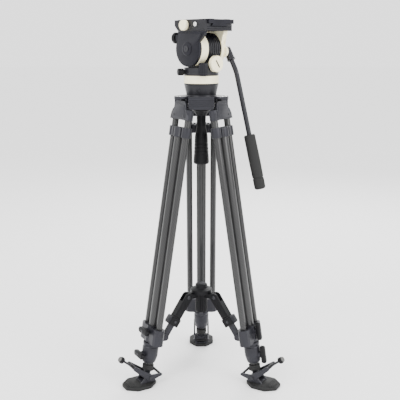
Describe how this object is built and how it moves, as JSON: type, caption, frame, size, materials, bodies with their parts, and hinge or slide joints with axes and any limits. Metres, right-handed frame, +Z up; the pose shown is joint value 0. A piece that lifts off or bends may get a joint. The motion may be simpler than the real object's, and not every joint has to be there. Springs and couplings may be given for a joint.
{
  "type": "video tripod with fluid head",
  "caption": "Free-standing video tripod: twin-tube telescopic legs with tilting feet, mid-level spreader, levelling bowl and fluid pan-and-tilt head with pan bar.",
  "frame": {"origin": "middle of the underside of the whole object's box, on the floor", "axes": "+Z up along the pan axis; +Y from the middle towards the rear foot; +X to the right as seen from the front"},
  "size_m": [0.414, 0.3672, 0.905],
  "materials": {
    "casting": "dark grey coated cast aluminium",
    "head_black": "black coated aluminium",
    "carbon": "clear-coated carbon fibre",
    "black": "black moulded plastic",
    "cream": "pale champagne anodised",
    "steel": "bright steel",
    "rubber": "black rubber"
  },
  "bodies": {
    "bowl": {"crown": "casting"},
    "level_base": {"half_ball_base": "head_black"},
    "clamp_handle": {"clamp_handle": "black"},
    "pan_ring": {"pan_drag_ring": "cream"},
    "pan_head": {"pan_body": "head_black", "tilt_drum": "head_black"},
    "pan_lock": {"pan_lock_knob": "black"},
    "drag_dial": {"drag_dial": "cream"},
    "tilt_ring": {"tilt_drag_ring": "cream"},
    "tilt_cradle": {"side_cover": "head_black", "side_arm": "cream", "platform": "head_black"},
    "tilt_lock": {"tilt_lock_knob": "black"},
    "plate": {"slide_plate": "head_black"},
    "camera_screw": {"camera_screw": "steel"},
    "plate_lock": {"plate_lock_knob": "cream"},
    "release_button": {"release_button": "steel"},
    "pan_bar": {"bar_clamp": "head_black", "pan_bar": "head_black", "bar_grip": "rubber"},
    "spreader_hub": {"spreader_hub": "black"},
    "left_leg": {"left_shoulder": "casting", "left_outer_tube_a": "carbon", "left_outer_tube_b": "carbon", "left_upper_lock": "casting"},
    "left_middle_stage": {"left_middle_tube": "carbon", "left_lower_lock": "casting"},
    "left_lower_stage": {"left_lower_tube": "carbon"},
    "left_upper_knob": {"left_upper_knob": "black"},
    "left_lower_knob": {"left_lower_knob": "black"},
    "left_foot": {"left_foot_pad": "rubber"},
    "left_lever": {"left_foot_lever": "black"},
    "left_arm": {"left_arm": "black"},
    "left_slider": {"left_arm_slider": "casting"},
    "right_leg": {"right_shoulder": "casting", "right_outer_tube_a": "carbon", "right_outer_tube_b": "carbon", "right_upper_lock": "casting"},
    "right_middle_stage": {"right_middle_tube": "carbon", "right_lower_lock": "casting"},
    "right_lower_stage": {"right_lower_tube": "carbon"},
    "right_upper_knob": {"right_upper_knob": "black"},
    "right_lower_knob": {"right_lower_knob": "black"},
    "right_foot": {"right_foot_pad": "rubber"},
    "right_lever": {"right_foot_lever": "black"},
    "right_arm": {"right_arm": "black"},
    "right_slider": {"right_arm_slider": "casting"},
    "rear_leg": {"rear_shoulder": "casting", "rear_outer_tube_a": "carbon", "rear_outer_tube_b": "carbon", "rear_upper_lock": "casting"},
    "rear_middle_stage": {"rear_middle_tube": "carbon", "rear_lower_lock": "casting"},
    "rear_lower_stage": {"rear_lower_tube": "carbon"},
    "rear_upper_knob": {"rear_upper_knob": "black"},
    "rear_lower_knob": {"rear_lower_knob": "black"},
    "rear_foot": {"rear_foot_pad": "rubber"},
    "rear_lever": {"rear_foot_lever": "black"},
    "rear_arm": {"rear_arm": "black"},
    "rear_slider": {"rear_arm_slider": "casting"}
  },
  "joints": [
    {"name": "left_leg_spread", "type": "hinge", "parent": "bowl", "child": "left_leg", "pos_m": [-0.03897, -0.07642, 0.705], "axis": [-0.5, 0.866, 0], "range_deg": [-4, 2]},
    {"name": "right_leg_spread", "type": "hinge", "parent": "bowl", "child": "right_leg", "pos_m": [0.03897, -0.07642, 0.705], "axis": [-0.5, -0.866, 0], "range_deg": [-4.2, 2.2]},
    {"name": "rear_leg_spread", "type": "hinge", "parent": "bowl", "child": "rear_leg", "pos_m": [0, -0.00892, 0.705], "axis": [1, 0, 0], "range_deg": [-4.2, 2.2]},
    {"name": "spreader_hub_travel", "type": "slide", "parent": "bowl", "child": "spreader_hub", "axis": [0, 0, 1], "range_m": [-0.0035, 0.0065]},
    {"name": "left_arm_fold", "type": "hinge", "parent": "spreader_hub", "child": "left_arm", "pos_m": [-0.03637, -0.07492, 0.211], "axis": [0.5, -0.866, 0], "range_deg": [-11, 21]},
    {"name": "left_arm_telescope", "type": "slide", "parent": "left_arm", "child": "left_slider", "axis": [-0.4982, -0.2876, -0.818], "range_m": [-0.0125, 0.0065]},
    {"name": "right_arm_fold", "type": "hinge", "parent": "spreader_hub", "child": "right_arm", "pos_m": [0.03637, -0.07492, 0.211], "axis": [0.5, 0.866, 0], "range_deg": [-11, 21]},
    {"name": "right_arm_telescope", "type": "slide", "parent": "right_arm", "child": "right_slider", "axis": [0.4982, -0.2876, -0.818], "range_m": [-0.0125, 0.0065]},
    {"name": "rear_arm_fold", "type": "hinge", "parent": "spreader_hub", "child": "rear_arm", "pos_m": [0, -0.01192, 0.211], "axis": [-1, 0, 0], "range_deg": [-11, 21]},
    {"name": "rear_arm_telescope", "type": "slide", "parent": "rear_arm", "child": "rear_slider", "axis": [0, 0.5752, -0.818], "range_m": [-0.0125, 0.0065]},
    {"name": "left_middle_extend", "type": "slide", "parent": "left_leg", "child": "left_middle_stage", "axis": [-0.1407, -0.0812, -0.9867], "range_m": [0, 0.44]},
    {"name": "left_lower_extend", "type": "slide", "parent": "left_middle_stage", "child": "left_lower_stage", "axis": [-0.1407, -0.0812, -0.9867], "range_m": [0, 0.42]},
    {"name": "left_upper_knob_turn", "type": "hinge", "parent": "left_leg", "child": "left_upper_knob", "pos_m": [-0.11987, -0.12313, 0.13764], "axis": [-0.8545, -0.4934, 0.1625], "range_deg": [0, 90]},
    {"name": "left_lower_knob_turn", "type": "hinge", "parent": "left_middle_stage", "child": "left_lower_knob", "pos_m": [-0.12845, -0.12808, 0.07745], "axis": [-0.8545, -0.4934, 0.1625], "range_deg": [0, 90]},
    {"name": "left_foot_tilt", "type": "hinge", "parent": "left_lower_stage", "child": "left_foot", "pos_m": [-0.13943, -0.13442, 0.022], "axis": [0.5, -0.866, 0], "range_deg": [-8, 15]},
    {"name": "left_lever_swing", "type": "hinge", "parent": "left_foot", "child": "left_lever", "pos_m": [-0.13943, -0.13442, 0.022], "axis": [0.5, -0.866, 0], "range_deg": [-2, 20]},
    {"name": "right_middle_extend", "type": "slide", "parent": "right_leg", "child": "right_middle_stage", "axis": [0.1407, -0.0812, -0.9867], "range_m": [0, 0.44]},
    {"name": "right_lower_extend", "type": "slide", "parent": "right_middle_stage", "child": "right_lower_stage", "axis": [0.1407, -0.0812, -0.9867], "range_m": [0, 0.42]},
    {"name": "right_upper_knob_turn", "type": "hinge", "parent": "right_leg", "child": "right_upper_knob", "pos_m": [0.11987, -0.12313, 0.13764], "axis": [0.8545, -0.4934, 0.1625], "range_deg": [0, 90]},
    {"name": "right_lower_knob_turn", "type": "hinge", "parent": "right_middle_stage", "child": "right_lower_knob", "pos_m": [0.12845, -0.12808, 0.07745], "axis": [0.8545, -0.4934, 0.1625], "range_deg": [0, 90]},
    {"name": "right_foot_tilt", "type": "hinge", "parent": "right_lower_stage", "child": "right_foot", "pos_m": [0.13943, -0.13442, 0.022], "axis": [0.5, 0.866, 0], "range_deg": [-8, 15]},
    {"name": "right_lever_swing", "type": "hinge", "parent": "right_foot", "child": "right_lever", "pos_m": [0.13943, -0.13442, 0.022], "axis": [0.5, 0.866, 0], "range_deg": [-2, 20]},
    {"name": "rear_middle_extend", "type": "slide", "parent": "rear_leg", "child": "rear_middle_stage", "axis": [0, 0.1625, -0.9867], "range_m": [0, 0.44]},
    {"name": "rear_lower_extend", "type": "slide", "parent": "rear_middle_stage", "child": "rear_lower_stage", "axis": [0, 0.1625, -0.9867], "range_m": [0, 0.42]},
    {"name": "rear_upper_knob_turn", "type": "hinge", "parent": "rear_leg", "child": "rear_upper_knob", "pos_m": [0, 0.08449, 0.13764], "axis": [0, 0.9867, 0.1625], "range_deg": [0, 90]},
    {"name": "rear_lower_knob_turn", "type": "hinge", "parent": "rear_middle_stage", "child": "rear_lower_knob", "pos_m": [0, 0.0944, 0.07745], "axis": [0, 0.9867, 0.1625], "range_deg": [0, 90]},
    {"name": "rear_foot_tilt", "type": "hinge", "parent": "rear_lower_stage", "child": "rear_foot", "pos_m": [0, 0.10708, 0.022], "axis": [-1, 0, 0], "range_deg": [-8, 15]},
    {"name": "rear_lever_swing", "type": "hinge", "parent": "rear_foot", "child": "rear_lever", "pos_m": [0, 0.10708, 0.022], "axis": [-1, 0, 0], "range_deg": [-2, 20]},
    {"name": "level_tilt", "type": "hinge", "parent": "bowl", "child": "level_base", "pos_m": [0, -0.05392, 0.729], "axis": [0.682, -0.7314, 0], "range_deg": [-8, 8]},
    {"name": "clamp_handle_turn", "type": "hinge", "parent": "level_base", "child": "clamp_handle", "pos_m": [0, -0.05392, 0.729], "axis": [0, 0, 1], "continuous": true},
    {"name": "pan", "type": "hinge", "parent": "level_base", "child": "pan_head", "pos_m": [0, -0.05392, 0.78], "axis": [0, 0, 1], "continuous": true},
    {"name": "pan_drag", "type": "hinge", "parent": "level_base", "child": "pan_ring", "pos_m": [0, -0.05392, 0.764], "axis": [0, 0, 1], "range_deg": [-60, 60]},
    {"name": "pan_lock_turn", "type": "hinge", "parent": "pan_head", "child": "pan_lock", "pos_m": [-0.04698, -0.07102, 0.7825], "axis": [-0.9397, -0.342, 0], "range_deg": [0, 120]},
    {"name": "drag_dial_turn", "type": "hinge", "parent": "pan_head", "child": "drag_dial", "pos_m": [0.03127, -0.08232, 0.802], "axis": [0.682, -0.7314, 0], "range_deg": [-135, 135]},
    {"name": "tilt", "type": "hinge", "parent": "pan_head", "child": "tilt_cradle", "pos_m": [0, -0.05392, 0.837], "axis": [0.7314, 0.682, 0], "range_deg": [-60, 20]},
    {"name": "tilt_drag", "type": "hinge", "parent": "pan_head", "child": "tilt_ring", "pos_m": [0, -0.05392, 0.837], "axis": [0.7314, 0.682, 0], "range_deg": [-60, 60]},
    {"name": "tilt_lock_turn", "type": "hinge", "parent": "tilt_cradle", "child": "tilt_lock", "pos_m": [-0.05435, -0.04403, 0.8626], "axis": [-0.682, 0.7314, 0], "range_deg": [0, 120]},
    {"name": "plate_travel", "type": "slide", "parent": "tilt_cradle", "child": "plate", "axis": [0.682, -0.7314, 0], "range_m": [-0.025, 0.025]},
    {"name": "camera_screw_turn", "type": "hinge", "parent": "plate", "child": "camera_screw", "pos_m": [0.00682, -0.06123, 0.9], "axis": [0, 0, 1], "continuous": true},
    {"name": "plate_lock_turn", "type": "hinge", "parent": "tilt_cradle", "child": "plate_lock", "pos_m": [-0.0379, -0.0797, 0.892], "axis": [-0.7314, -0.682, 0], "range_deg": [0, 120]},
    {"name": "release_press", "type": "slide", "parent": "tilt_cradle", "child": "release_button", "axis": [0.7314, 0.682, 0], "range_m": [0, 0.0022], "stiffness_N_per_m": 600},
    {"name": "pan_bar_angle", "type": "hinge", "parent": "tilt_cradle", "child": "pan_bar", "pos_m": [0.02353, -0.07915, 0.8307], "axis": [-0.7314, -0.682, 0], "range_deg": [0, 90]}
  ],
  "couplings": [
    {"joint": "right_leg_spread", "follows": "left_leg_spread", "ratio": 1},
    {"joint": "rear_leg_spread", "follows": "left_leg_spread", "ratio": 1},
    {"joint": "spreader_hub_travel", "follows": "left_leg_spread", "m_per_rad": -0.0864},
    {"joint": "left_arm_fold", "follows": "left_leg_spread", "ratio": -5},
    {"joint": "left_arm_telescope", "follows": "left_leg_spread", "m_per_rad": 0.169},
    {"joint": "right_arm_fold", "follows": "left_leg_spread", "ratio": -5},
    {"joint": "right_arm_telescope", "follows": "left_leg_spread", "m_per_rad": 0.169},
    {"joint": "rear_arm_fold", "follows": "left_leg_spread", "ratio": -5},
    {"joint": "rear_arm_telescope", "follows": "left_leg_spread", "m_per_rad": 0.169}
  ]
}
